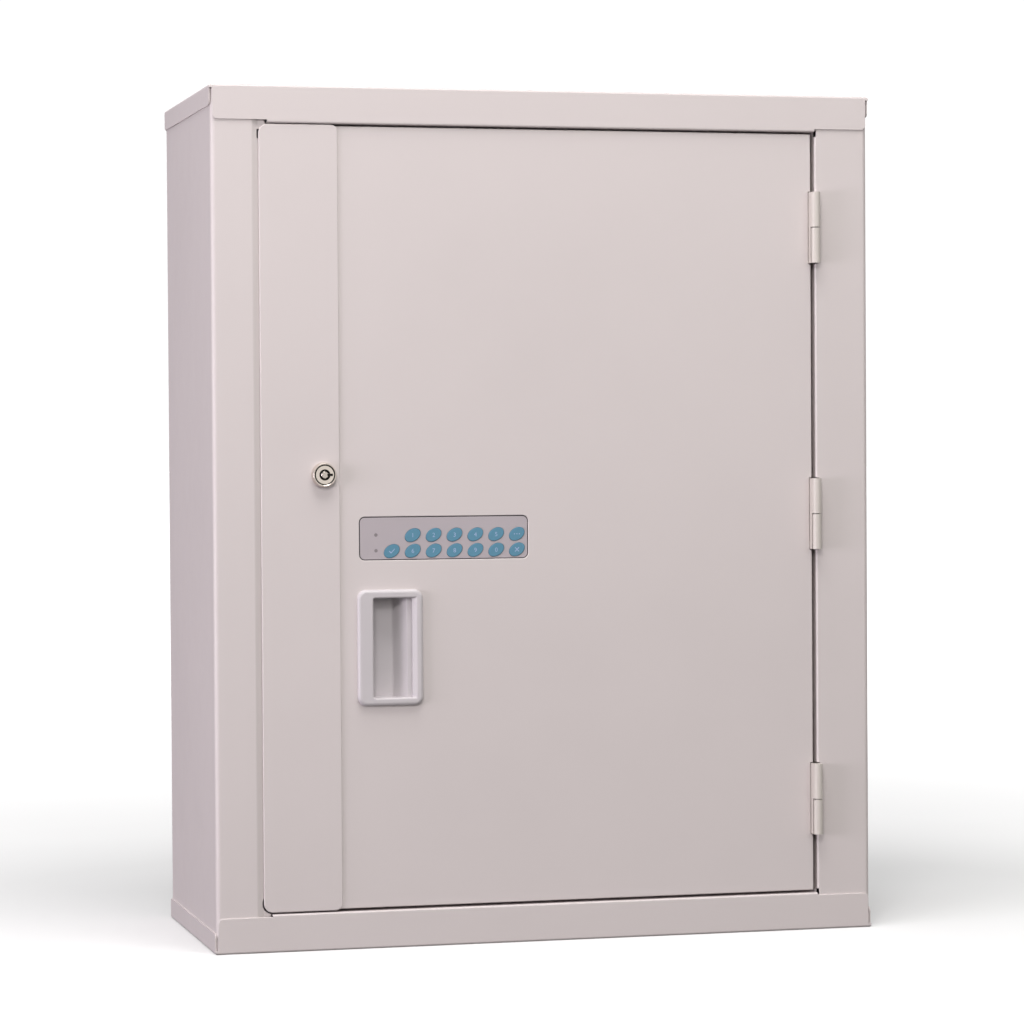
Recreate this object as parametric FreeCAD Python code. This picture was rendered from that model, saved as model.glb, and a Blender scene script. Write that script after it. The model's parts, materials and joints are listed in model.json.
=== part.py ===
import FreeCAD, Part
import math
import os

V = FreeCAD.Vector

# ---------------------------------------------------------------------------
# Wall-hung sheet-steel cabinet with one hinged door, a keypad lock, a tubular
# key lock, a recessed pull and two phone-charging shelves. Millimetres.
# Everything is drawn with X from the left side (0..W), Y from the front of the
# cap flanges (0) to the back (D) and Z from the floor (0..H); each solid is
# then shifted so that the origin is the bottom centre of the bounding box.
# ---------------------------------------------------------------------------
W = 600.0            # overall width over the caps
D = 250.0            # depth from cap front to cap back
H = 750.0            # overall height
T = 1.2              # cabinet sheet
TD = 1.5             # door sheet and lock strip
TH = 2.0             # hinge leaves

TOP_FLANGE = 30.0    # front flange of the top cap
BOT_FLANGE = 31.0    # front flange of the bottom cap
SIDE_FLANGE = 18.0   # side and back flanges of both caps
SEAM_X, SEAM_Y = 2.6, 2.2    # where the caps' front and side flanges begin beside their open corners
OPEN_X0, OPEN_X1 = 50.0, 549.4
TOP_RAIL = 32.5      # opening starts this far below the top
BOT_RAIL = 33.0      # opening starts this far above the floor
REBATE_Y = 25.0      # depth of the door rebate

DOOR_X0, DOOR_X1 = 52.5, 545.85
DOOR_Z0, DOOR_Z1 = 35.4, 715.7
DOOR_Y0 = 2.7        # front skin of the door
DOOR_Y1 = 22.7       # back of the door tray
DOOR_LIP = 13.5

STRIP_X0, STRIP_X1 = 43.0, 112.5
STRIP_Z0, STRIP_Z1 = 34.5, 716.7
STRIP_Y0, STRIP_Y1 = 1.2, 2.7

HINGE_X, HINGE_Y = 547.85, -5.2
HINGE_Z = (118.2, 375.0, 631.8)
HINGE_LEN = 63.5
KNUCKLE_R = 4.0
PIN_R = 2.0
PIN_BORE_R = 2.05
KNUCKLE_GAP = 0.8    # between the two knuckles of a hinge
LEAF_CLEAR = 4.5     # radius of the cut-back beside the other knuckle

LOCK_X, LOCK_Z = 98.1, 413.4
LOCK_FACE_Y = -4.9
CAM_Y0, CAM_Y1 = 29.4, 31.9

PAD_X0, PAD_X1 = 129.5, 281.5
PAD_Z0, PAD_Z1 = 338.5, 376.5
PAD_R = 5.0
KEY_A, KEY_B, KEY_TILT = 7.5, 5.3, 31.0
KEY_PITCH_X = 18.8
KEY_ROW_Z = (360.1, 346.4)
KEY_X_LAST = 271.3
KEY_TRAVEL = 0.5

HANDLE = (127.0, 185.5, 211.5, 313.0)
HANDLE_OPEN = (141.0, 180.0, 218.5, 305.5)

BOLT_Z = 357.5
BOLT_Y = 14.0

SHELF_Z = (165.0, 440.0)      # top faces of the two shelves' clips
SHELF_Y0, SHELF_Y1 = 52.0, 236.0
DIVIDER_X0, DIVIDER_PITCH, DIVIDER_N = 40.0, 52.0, 11
HUB_X0, HUB_X1 = 40.0, 545.0
HUB_Y0 = 208.0
HUB_H = 46.0
HUB_LIFT = 30.0
PORT_X0, PORT_PITCH, PORT_N = 61.0, 42.0, 10

WALL_X = (50.0, 550.0)
WALL_Z = (75.0, 675.0)
WALL_HOLE_R = 4.5
CABLE_X, CABLE_Z = 520.0, 48.0
CABLE_BORE_R = 8.0

FRONT = HINGE_Y - KNUCKLE_R   # foremost point: the hinge barrels
Y_SHIFT = (D + FRONT) / 2.0


# ------------------------------- helpers -----------------------------------
def box(x0, x1, y0, y1, z0, z1):
    return Part.makeBox(x1 - x0, y1 - y0, z1 - z0, V(x0, y0, z0))


def cyl_y(x, z, r, y0, y1):
    return Part.makeCylinder(r, y1 - y0, V(x, y0, z), V(0, 1, 0))


def cyl_z(x, y, r, z0, z1):
    return Part.makeCylinder(r, z1 - z0, V(x, y, z0), V(0, 0, 1))


def cyl_x(y, z, r, x0, x1):
    return Part.makeCylinder(r, x1 - x0, V(x0, y, z), V(1, 0, 0))


def polyline_edges(pts, radii):
    """Edges of an open polyline whose inner corners have the given radii."""
    out = []
    last = pts[0]
    for i in range(1, len(pts) - 1):
        a, b, c = pts[i - 1], pts[i], pts[i + 1]
        u = V(a[0] - b[0], a[1] - b[1], 0).normalize()
        w = V(c[0] - b[0], c[1] - b[1], 0).normalize()
        ang = u.getAngle(w)
        r = radii[i]
        k = r / math.tan(ang / 2.0)
        p = (b[0] + u.x * k, b[1] + u.y * k)
        q = (b[0] + w.x * k, b[1] + w.y * k)
        m = (u + w).normalize()
        c0 = (b[0] + m.x * r / math.sin(ang / 2.0), b[1] + m.y * r / math.sin(ang / 2.0))
        mid = (c0[0] - m.x * r, c0[1] - m.y * r)
        if math.hypot(p[0] - last[0], p[1] - last[1]) > 1e-6:
            out.append(("line", last, p))
        out.append(("arc", p, mid, q))
        last = q
    out.append(("line", last, pts[-1]))
    return out


def offset_left(pts, t):
    """The polyline moved by t to its left side, corners mitred."""
    lines = []
    for a, b in zip(pts[:-1], pts[1:]):
        d = V(b[0] - a[0], b[1] - a[1], 0).normalize()
        n = (-d.y, d.x)
        lines.append(((a[0] + n[0] * t, a[1] + n[1] * t), (b[0] + n[0] * t, b[1] + n[1] * t)))
    out = [lines[0][0]]
    for (p, q), (r, s) in zip(lines[:-1], lines[1:]):
        d1 = (q[0] - p[0], q[1] - p[1])
        d2 = (s[0] - r[0], s[1] - r[1])
        den = d1[0] * d2[1] - d1[1] * d2[0]
        k = ((r[0] - p[0]) * d2[1] - (r[1] - p[1]) * d2[0]) / den
        out.append((p[0] + d1[0] * k, p[1] + d1[1] * k))
    out.append(lines[-1][1])
    return out


def folded(pts, t, rin, put, along):
    """A folded sheet: pts is one face's path, t is to its left, rin lists the inner bend radii."""
    n = len(pts)
    r1, r2 = [0.0] * n, [0.0] * n
    for i in range(1, n - 1):
        a, b, c = pts[i - 1], pts[i], pts[i + 1]
        cross = (b[0] - a[0]) * (c[1] - b[1]) - (b[1] - a[1]) * (c[0] - b[0])
        r1[i], r2[i] = (rin[i] + t, rin[i]) if cross > 0 else (rin[i], rin[i] + t)
    other = offset_left(pts, t)
    one = polyline_edges(pts, r1)
    two = polyline_edges(other[::-1], r2[::-1])
    items = one + [("line", pts[-1], other[-1])] + two + [("line", other[0], pts[0])]
    edges = []
    for it in items:
        if it[0] == "line":
            edges.append(Part.LineSegment(put(*it[1]), put(*it[2])).toShape())
        else:
            edges.append(Part.Arc(put(*it[1]), put(*it[2]), put(*it[3])).toShape())
    return Part.Face(Part.Wire(edges)).extrude(along)


def rect_wire(x0, x1, z0, z1, r, y):
    """Rounded rectangle in the front plane; r is one radius or (bl, br, tr, tl)."""
    bl, br, tr, tl = (r,) * 4 if not hasattr(r, "__len__") else r
    e = []

    def seg(p, q):
        if math.hypot(p[0] - q[0], p[1] - q[1]) > 1e-6:
            e.append(Part.LineSegment(V(p[0], y, p[1]), V(q[0], y, q[1])).toShape())

    def arc(cx, cz, rr, a0, a1):
        if rr > 1e-6:
            pt = lambda a: V(cx + rr * math.cos(math.radians(a)), y, cz + rr * math.sin(math.radians(a)))
            e.append(Part.Arc(pt(a0), pt((a0 + a1) / 2.0), pt(a1)).toShape())

    seg((x0 + bl, z0), (x1 - br, z0))
    arc(x1 - br, z0 + br, br, -90, 0)
    seg((x1, z0 + br), (x1, z1 - tr))
    arc(x1 - tr, z1 - tr, tr, 0, 90)
    seg((x1 - tr, z1), (x0 + tl, z1))
    arc(x0 + tl, z1 - tl, tl, 90, 180)
    seg((x0, z1 - tl), (x0, z0 + bl))
    arc(x0 + bl, z0 + bl, bl, 180, 270)
    return Part.Wire(e)


def slab(x0, x1, z0, z1, r, y0, y1):
    return Part.Face(rect_wire(x0, x1, z0, z1, r, y0)).extrude(V(0, y1 - y0, 0))


def ellipse(cx, cz, a, b, tilt, y0, y1):
    el = Part.Ellipse(V(0, 0, 0), a, b).toShape()
    face = Part.Face(Part.Wire([el])).extrude(V(0, 0, y1 - y0))
    # local X -> X, local Y -> Z, local Z -> -Y
    face.rotate(V(0, 0, 0), V(0, 0, 1), tilt)
    face.rotate(V(0, 0, 0), V(1, 0, 0), 90)
    face.translate(V(cx, y1, cz))
    return face


def fillet_where(shape, r, test):
    edges = [e for e in shape.Edges if test(e)]
    return shape.makeFillet(r, edges) if edges else shape


def in_plane_y(y, tol=1e-4):
    return lambda e: all(abs(v.Point.y - y) < tol for v in e.Vertexes) and abs(e.CenterOfMass.y - y) < tol


def fuse(*shapes):
    out = shapes[0]
    for s in shapes[1:]:
        out = out.fuse(s)
    return out.removeSplitter()


def cut(shape, *tools):
    for t in tools:
        shape = shape.cut(t)
    return shape


XY = lambda z: (lambda u, v: V(u, v, z))
YZ = lambda x: (lambda u, v: V(x, u, v))


# ------------------------------ cabinet shell -------------------------------
def side_panel(joggle):
    if joggle:
        pts = [(22, 248.8), (1.2, 248.8), (1.2, 1.2), (37.2, 1.2), (42.6, 3.2), (50, 3.2), (50, REBATE_Y + 1.6), (60, REBATE_Y + 1.6)]
        rin = [0, 1.3, 3.0, 1.6, 1.6, 1.3, 1.3, 0]
    else:
        e = W - OPEN_X1
        pts = [(22, 248.8), (1.2, 248.8), (1.2, 1.2), (e, 1.2), (e, REBATE_Y + 1.6), (e + 10, REBATE_Y + 1.6)]
        rin = [0, 1.3, 3.0, 0.5, 1.3, 0]
    return folded(pts, T, rin, XY(2.4), V(0, 0, H - 4.8))


def mirror_x(shape):
    return shape.mirror(V(W / 2, 0, 0), V(1, 0, 0))


def left_side_panel():
    s = side_panel(True)
    # lower corner relief, which follows the rounded corner of the lock strip
    s = s.cut(cyl_y(STRIP_X0 + 8, STRIP_Z0 + 8, 9.3, 0, 14).common(box(30, 51, 0, 14, STRIP_Z0 - 2, STRIP_Z0 + 12.5)))
    # upper relief: a short slit beside the strip and a nick at the return
    s = s.cut(slab(STRIP_X0 - 1.3, STRIP_X0 + 3.0, STRIP_Z1 - 12.5, STRIP_Z1 - 4.5, 0.9, 0, 14))
    s = s.cut(box(49.2, 51, 0, 8, STRIP_Z1 - 1.5, STRIP_Z1 + 3.0))
    # bolt pocket
    s = s.cut(box(48, 51, BOLT_Y - 6.0, BOLT_Y + 6.0, BOLT_Z - 7.5, BOLT_Z + 7.5))
    return s


def right_side_panel():
    s = mirror_x(side_panel(False))
    s = s.cut(box(549, 550.9, 0, 8, 713.2, 719.0))
    s = s.cut(box(549, 550.9, 0, 8, 31.4, 36.6))
    # the hinge leaves are let into the return and the stile's edge
    for zc in HINGE_Z:
        a, b = hinge_span(zc)
        s = s.cut(box(548, OPEN_X1 + 2.9, 0, 20.5, a - 0.8, b + 0.8))
    return s


def cap(front, rail):
    """Top cap: a tray that laps over the side panels, with the rail of the door opening."""
    outer = box(0, W, 0, D, H - front, H)
    outer = fillet_where(outer, 2.0, lambda e: all(abs(v.Point.z - H) < 1e-4 for v in e.Vertexes))
    inner = box(T, W - T, T, D - T, H - front - 1, H - T)
    inner = fillet_where(inner, 0.8, lambda e: all(abs(v.Point.z - (H - T)) < 1e-4 for v in e.Vertexes))
    s = outer.cut(inner)
    low = H - SIDE_FLANGE
    s = s.cut(box(-1, W + 1, T, D + 1, H - front - 1, low))
    s = s.cut(box(-1, W + 1, -1, T, H - front - 1, low + 1.0))
    # front flange below the side flanges, with rounded lower corners
    flange = slab(SEAM_X, W - SEAM_X, H - front, low + 1.0, (4.5, 4.5, 0, 0), 0, T)
    flange = fillet_where(flange, 0.45, lambda e: in_plane_y(0.0)(e) and e.CenterOfMass.z < low + 0.9)
    s = s.fuse(flange)
    # flange ends: a rounded corner and an open seam beside the front flange
    for m in (False, True):
        seam = box(-0.5, T + 0.02, T, SEAM_Y, low - 1, H - 3.2).fuse(
            box(-0.5, SEAM_X, -0.5, T + 0.01, low - 1, H - 3.2))
        rnd = box(-0.5, T + 0.02, SEAM_Y - 0.1, SEAM_Y + 4.0, low - 1, low + 4.0).cut(
            cyl_x(SEAM_Y + 4.0, low + 4.0, 4.0, -1, T + 1))
        back = box(-0.5, T + 0.02, D - 4.0, D + 0.5, low - 1, low + 4.0).cut(
            cyl_x(D - 4.0, low + 4.0, 4.0, -1, T + 1))
        for tool in (seam, rnd, back):
            s = s.cut(mirror_x(tool) if m else tool)
    # rail: down, back and down again behind the door
    z = H - rail
    pts = [(0, H - front + 3), (0, z), (REBATE_Y, z), (REBATE_Y, z - 11.5)]
    rail_s = folded(pts, T, [0, 0.5, 1.3, 0], YZ(OPEN_X0 + 0.5), V(OPEN_X1 - OPEN_X0 - 1.0, 0, 0))
    return s.fuse(rail_s).removeSplitter()


def top_cap():
    return cap(TOP_FLANGE, TOP_RAIL)


def bottom_cap():
    return cap(BOT_FLANGE, BOT_RAIL).mirror(V(0, 0, H / 2), V(0, 0, 1))


def back_panel():
    s = box(3.8, W - 3.8, D - 3.6, D - 2.4, 2.6, H - 2.6)
    for x in WALL_X:
        for z in WALL_Z:
            s = s.cut(cyl_y(x, z, WALL_HOLE_R, D - 5, D))
    s = s.cut(cyl_y(CABLE_X, CABLE_Z, 12.5, D - 5, D))
    tools = []
    for i in range(9):
        for z in (640.0, 652.0, 664.0):
            x = 140.0 + 40.0 * i
            tools.append(slab(x - 14, x + 14, z - 2, z + 2, 1.99, D - 5, D))
    return s.cut(Part.makeCompound(tools))


def cable_grommet():
    s = fuse(cyl_y(CABLE_X, CABLE_Z, 17.0, D - 6.5, D - 3.6),
             cyl_y(CABLE_X, CABLE_Z, 12.4, D - 3.7, D - 2.3),
             cyl_y(CABLE_X, CABLE_Z, 17.0, D - 2.4, D - 0.2))
    s = fillet_where(s, 0.8, lambda e: e.Length > 100 and (abs(e.CenterOfMass.y - (D - 0.2)) < 1e-3 or abs(e.CenterOfMass.y - (D - 6.5)) < 1e-3))
    return s.cut(cyl_y(CABLE_X, CABLE_Z, CABLE_BORE_R, D - 8, D + 1))


# ------------------------------ interior ------------------------------------
UP_Y = ((62.0, 86.0), (198.0, 222.0))
UP_Z0, UP_Z1 = 40.0, 700.0
SLOT_PITCH = 25.0


def shelf_uprights():
    out = []
    for y0, y1 in UP_Y:
        pts = [(2.4, y0), (2.4, y0 + 7), (10.0, y0 + 7), (10.0, y1 - 7), (2.4, y1 - 7), (2.4, y1)][::-1]
        s = folded(pts, T, [0, 0.3, 0.5, 0.5, 0.3, 0], XY(UP_Z0), V(0, 0, UP_Z1 - UP_Z0))
        ym = (y0 + y1) / 2
        slots = [box(5, 14, ym - 1.6, ym + 1.6, z, z + 12) for z in
                 [UP_Z0 + 13.0 + SLOT_PITCH * k for k in range(25)]]
        s = s.cut(Part.makeCompound(slots))
        out += [s, mirror_x(s)]
    return out


def upright_face():
    """X of the front face of a left upright."""
    return max(v.Point.x for v in shelf_uprights()[0].Vertexes)


def shelf_clips(face):
    out = []
    for zs in SHELF_Z:
        for y0, y1 in UP_Y:
            ym = (y0 + y1) / 2
            s = fuse(box(face, face + 1.7, ym - 6, ym + 6, zs - 16, zs),
                     box(face, face + 14, ym - 6, ym + 6, zs - 1.6, zs),
                     box(face - 6.0, face, ym - 1.2, ym + 1.2, zs - 10, zs - 4))
            s = fillet_where(s, 3.0, lambda e: e.Length < 1.7 and abs(e.CenterOfMass.x - (face + 14)) < 1e-3)
            out += [s, mirror_x(s)]
    return out


def shelf(zs):
    z1 = zs + T
    pts = [(SHELF_Y0 + 8, zs - 18), (SHELF_Y0, zs - 18), (SHELF_Y0, z1), (SHELF_Y1, z1), (SHELF_Y1, zs - 18)]
    # path runs up the front and back along the top; thickness inside
    pts = pts[::-1]
    s = folded(pts, T, [0, 1.0, 1.0, 0.8, 0], YZ(14.5), V(W - 29.0, 0, 0))
    tools = []
    for k in range(DIVIDER_N):
        x = DIVIDER_X0 + DIVIDER_PITCH * k
        for y in (76.0, 166.0):
            tools.append(box(x - 0.95, x + 0.95, y - 0.2, y + 12.2, zs - 2, zs + 3))
    return s.cut(Part.makeCompound(tools))


def dividers(zs):
    out = []
    for k in range(DIVIDER_N):
        x = DIVIDER_X0 + DIVIDER_PITCH * k
        e = []
        y0, y1, z0, z1 = 64.0, 190.0, zs + T, zs + T + 104.0
        pts = [(y0, z0), (y1, z0), (y1, z1), (y0, z1)]
        face = Part.Face(Part.makePolygon([V(x - 0.75, p[0], p[1]) for p in pts + [pts[0]]]))
        s = face.extrude(V(1.5, 0, 0))
        s = fillet_where(s, 34.0, lambda ed: abs(ed.Length - 1.5) < 1e-3 and abs(ed.CenterOfMass.y - y0) < 1e-3 and abs(ed.CenterOfMass.z - z1) < 1e-3)
        s = fillet_where(s, 8.0, lambda ed: abs(ed.Length - 1.5) < 1e-3 and abs(ed.CenterOfMass.y - y1) < 1e-3 and abs(ed.CenterOfMass.z - z1) < 1e-3)
        for y in (76.0, 166.0):
            s = s.fuse(box(x - 0.75, x + 0.75, y, y + 12, zs - 2.0, z0 + 1))
        out.append(s.removeSplitter())
    return out


def hub_z(zs):
    return zs + T + HUB_LIFT


def hub_housing(zs):
    z0 = hub_z(zs)
    z1, zm = z0 + HUB_H, z0 + HUB_H / 2
    y1 = D - 3.6
    s = box(HUB_X0, HUB_X1, HUB_Y0, y1, z0, z1)
    s = fillet_where(s, 3.0, lambda e: abs(e.Length - (HUB_X1 - HUB_X0)) < 1e-3 and abs(e.CenterOfMass.y - HUB_Y0) < 1e-3)
    s = fillet_where(s, 1.2, lambda e: e.Length > 4.6 and e.Length < HUB_H + 1 and abs(e.CenterOfMass.y - HUB_Y0) < 3.1 and (abs(e.CenterOfMass.x - HUB_X0) < 1e-3 or abs(e.CenterOfMass.x - HUB_X1) < 1e-3))
    s = s.cut(box(HUB_X0 + 2, HUB_X1 - 2, HUB_Y0 + 1.6, y1 - 1.2, z0 + 1.6, z1 - 1.6))
    # shallow panel groove round the ports
    tools = [slab(PORT_X0 + PORT_PITCH * k - 7.0, PORT_X0 + PORT_PITCH * k + 7.0, zm - 3.4, zm + 3.4, 0.8, HUB_Y0 - 1, HUB_Y0 + 3) for k in range(PORT_N)]
    tools.append(slab(468.0, 482.0, zm - 10.5, zm + 10.5, 0.8, HUB_Y0 - 1, HUB_Y0 + 3))
    tools.append(slab(498.0, 526.0, zm - 10.2, zm + 10.2, (3, 3, 6, 6), HUB_Y0 - 1, HUB_Y0 + 3))
    tools += [slab(96.0 + 38.0 * k, 120.0 + 38.0 * k, z1 - 9, z1 - 6.4, 1.2, HUB_Y0 - 1, HUB_Y0 + 3) for k in range(9)]
    return s.cut(Part.makeCompound(tools))


def usb_sockets(zs):
    zm = hub_z(zs) + HUB_H / 2
    out = []
    for k in range(PORT_N):
        x = PORT_X0 + PORT_PITCH * k
        shell = slab(x - 6.9, x + 6.9, zm - 3.3, zm + 3.3, 0.7, HUB_Y0 + 0.2, HUB_Y0 + 15)
        shell = shell.cut(slab(x - 6.3, x + 6.3, zm - 2.7, zm + 2.7, 0.4, HUB_Y0 - 1, HUB_Y0 + 13))
        tongue = box(x - 5.6, x + 5.6, HUB_Y0 + 1.0, HUB_Y0 + 13.2, zm + 0.5, zm + 2.2)
        out.append(shell.fuse(tongue).removeSplitter())
    return out


def charger_boards():
    out = []
    for zs in SHELF_Z:
        z0 = hub_z(zs) + 1.6
        y = HUB_Y0 + 16.6
        s = box(HUB_X0 + 6, HUB_X1 - 6, D - 9.0, D - 7.4, z0 + 2, z0 + HUB_H - 5.2)
        for k in range(PORT_N):
            x = PORT_X0 + PORT_PITCH * k
            s = s.fuse(box(x - 9, x + 9, y, D - 8.9, z0 + 16, z0 + 27))
        s = s.fuse(box(60, 110, y + 2, D - 8.9, z0 + 3, z0 + 14))
        s = s.fuse(box(380, 450, y + 2, D - 8.9, z0 + 3, z0 + 14))
        for z in (z0, z0 + HUB_H - 5.2):
            s = s.fuse(box(HUB_X0 + 30, HUB_X0 + 40, D - 9.0, D - 7.4, z, z + 2.0))
            s = s.fuse(box(HUB_X1 - 90, HUB_X1 - 80, D - 9.0, D - 7.4, z, z + 2.0))
        out.append(s.removeSplitter())
    return out


def power_inlet(zs):
    zm = hub_z(zs) + HUB_H / 2
    r = (2.8, 2.8, 5.8, 5.8)
    s = slab(498.2, 525.8, zm - 10.0, zm + 10.0, r, HUB_Y0 - 1.4, HUB_Y0 + 22)
    s = s.fuse(slab(495.0, 529.0, zm - 13.0, zm + 13.0, (3, 3, 7, 7), HUB_Y0 - 1.4, HUB_Y0 - 0.02))
    s = s.cut(slab(500.0, 524.0, zm - 8.2, zm + 8.2, (2, 2, 5, 5), HUB_Y0 - 3, HUB_Y0 + 16))
    for x, z in ((512.0, zm + 2.6), (505.0, zm - 2.6), (519.0, zm - 2.6)):
        s = s.fuse(box(x - 1.0, x + 1.0, HUB_Y0 + 1.0, HUB_Y0 + 16.5, z - 2.0, z + 2.0))
    return s.removeSplitter()


def power_switch(zs):
    """Rocker on an axis along X; drawn tilted to its off stop."""
    zm = hub_z(zs) + HUB_H / 2
    y = HUB_Y0 + 2.4
    pts = [(-5.2, -9.2), (-3.9, 0), (-5.2, 9.2), (-1.5, 9.3), (5.0, 4.2), (5.0, -4.2), (-1.5, -9.3)]
    face = Part.Face(Part.makePolygon([V(469.0, y + p[0], zm + p[1]) for p in pts + [pts[0]]]))
    s = face.extrude(V(12.0, 0, 0))
    s = fillet_where(s, 0.7, lambda e: abs(e.Length - 12.0) < 1e-3 and abs(e.CenterOfMass.y - (y - 5.2)) < 1e-3)
    # pivot stubs, which define the rocker's axis
    s = fuse(s, cyl_x(y, zm, 1.5, 468.4, 481.6))
    s.rotate(V(475, y, zm), V(1, 0, 0), -6.0)
    return s


# ------------------------------- door ---------------------------------------
def hinge_span(zc):
    return zc - HINGE_LEN / 2, zc + HINGE_LEN / 2


def door_pan():
    s = box(DOOR_X0, DOOR_X1, DOOR_Y0, DOOR_Y1, DOOR_Z0, DOOR_Z1)
    s = fillet_where(s, 1.0, lambda e: e.Length > 15 and (abs(e.CenterOfMass.y - DOOR_Y0) < 1e-3 or (abs(e.Length - (DOOR_Y1 - DOOR_Y0)) < 1e-3)))
    s = s.cut(box(DOOR_X0 + TD, DOOR_X1 - TD, DOOR_Y0 + TD, DOOR_Y1 - TD, DOOR_Z0 + TD, DOOR_Z1 - TD))
    s = s.cut(box(DOOR_X0 + DOOR_LIP, DOOR_X1 - DOOR_LIP, DOOR_Y1 - 5, DOOR_Y1 + 1, DOOR_Z0 + DOOR_LIP, DOOR_Z1 - DOOR_LIP))
    # pull, keypad and key lock
    s = s.cut(slab(129.6, 182.9, 214.1, 310.4, 5.8, 0, 6))
    pad = slab(PAD_X0, PAD_X1, PAD_Z0, PAD_Z1, PAD_R, 0, 6)
    s = s.cut(pad)
    s = fillet_where(s, 0.7, lambda e: abs(e.CenterOfMass.y - DOOR_Y0) < 1e-3 and PAD_X0 - .1 < e.CenterOfMass.x < PAD_X1 + .1 and PAD_Z0 - .1 < e.CenterOfMass.z < PAD_Z1 + .1)
    s = s.cut(cyl_y(LOCK_X, LOCK_Z, 9.7, 0, 6))
    # bolt window in the left edge
    s = s.cut(box(DOOR_X0 - 1, DOOR_X0 + 2, BOLT_Y - 5.2, BOLT_Y + 5.2, BOLT_Z - 6.7, BOLT_Z + 6.7))
    # hinge leaves are let into the right edge
    for zc in HINGE_Z:
        a, b = hinge_span(zc)
        s = s.cut(box(HINGE_X - KNUCKLE_R - 0.65, DOOR_X1 + 1, 0, DOOR_Y0 + TD, a - 0.8, b + 0.8))
        s = s.cut(box(HINGE_X - KNUCKLE_R, DOOR_X1 + 1, 0, 18.3, a - 0.8, b + 0.8))
    return s


def lock_strip():
    s = slab(STRIP_X0, STRIP_X1, STRIP_Z0, STRIP_Z1, (8, 6, 6, 8), STRIP_Y0, STRIP_Y1)
    s = fillet_where(s, 0.9, in_plane_y(STRIP_Y0))
    return s.cut(cyl_y(LOCK_X, LOCK_Z, 9.7, 0, 6))


def door_stiffener():
    pts = [(296, 4.2), (310, 4.2), (310, 16.2), (350, 16.2), (350, 4.2), (364, 4.2)]
    # the hat section opens towards the skin; thickness is on the inside of the door
    return folded(pts, T, [0, 0.8, 0.8, 0.8, 0.8, 0], XY(56.0), V(0, 0, 638.0))


def hinge_backing_plates():
    """Welded plates behind the door leaves."""
    out = []
    for zc in HINGE_Z:
        a, b = hinge_span(zc)
        x = HINGE_X - KNUCKLE_R
        s = box(x - 2.5, DOOR_X1 - TD, DOOR_Y0 + TD, DOOR_Y1 - TD, a - 14, b + 14)
        out.append(s.cut(box(x, DOOR_X1, 0, 18.3, a - 0.8, b + 0.8)))
    return out


def frame_hinge_plates():
    """Welded plates behind the frame leaves."""
    out = []
    for zc in HINGE_Z:
        a, b = hinge_span(zc)
        x = HINGE_X + KNUCKLE_R
        s = box(OPEN_X1 + T, x + 2.5, 5.0, 25.0, a - 14, b + 14)
        out.append(s.cut(box(OPEN_X1, x, 0, 20.5, a - 0.8, b + 0.8)))
    return out


def hinge_leaf(zc, side, y1, upper):
    """One leaf, tangent to the barrel: side -1 is the door's, +1 the frame's."""
    a, b = hinge_span(zc)
    x0 = HINGE_X - KNUCKLE_R if side < 0 else HINGE_X + KNUCKLE_R - TH
    k0, k1 = (zc + KNUCKLE_GAP / 2, b) if upper else (a, zc - KNUCKLE_GAP / 2)
    o0, o1 = (a - 1, k0) if upper else (k1, b + 1)
    s = box(x0, x0 + TH, HINGE_Y, y1, a, b)
    s = s.cut(cyl_z(HINGE_X, HINGE_Y, LEAF_CLEAR, o0, o1))
    s = s.cut(box(x0 - 1, x0 + TH + 1, HINGE_Y - 1, HINGE_Y + 2.1, o0, o1))
    s = s.fuse(cyl_z(HINGE_X, HINGE_Y, KNUCKLE_R, k0, k1))
    return s


def hinge_door_leaves():
    out = []
    for zc in HINGE_Z:
        a, b = hinge_span(zc)
        s = hinge_leaf(zc, -1, 18.0, True)
        out.append(s.cut(cyl_z(HINGE_X, HINGE_Y, PIN_BORE_R, a - 1, b + 1)).removeSplitter())
    return out


def hinge_frame_leaves():
    out = []
    for zc in HINGE_Z:
        a, b = hinge_span(zc)
        s = hinge_leaf(zc, 1, 20.2, False)
        # blind bore: the pin stands on its floor
        out.append(s.cut(cyl_z(HINGE_X, HINGE_Y, PIN_BORE_R, a + 1.2, b + 1)).removeSplitter())
    return out


def hinge_pins():
    out = []
    for zc in HINGE_Z:
        a, b = hinge_span(zc)
        s = cyl_z(HINGE_X, HINGE_Y, PIN_R, a + 1.2, b - 0.3)
        out.append(fillet_where(s, 0.4, lambda e: len(e.Vertexes) == 1 and e.CenterOfMass.z > zc))
    return out


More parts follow.
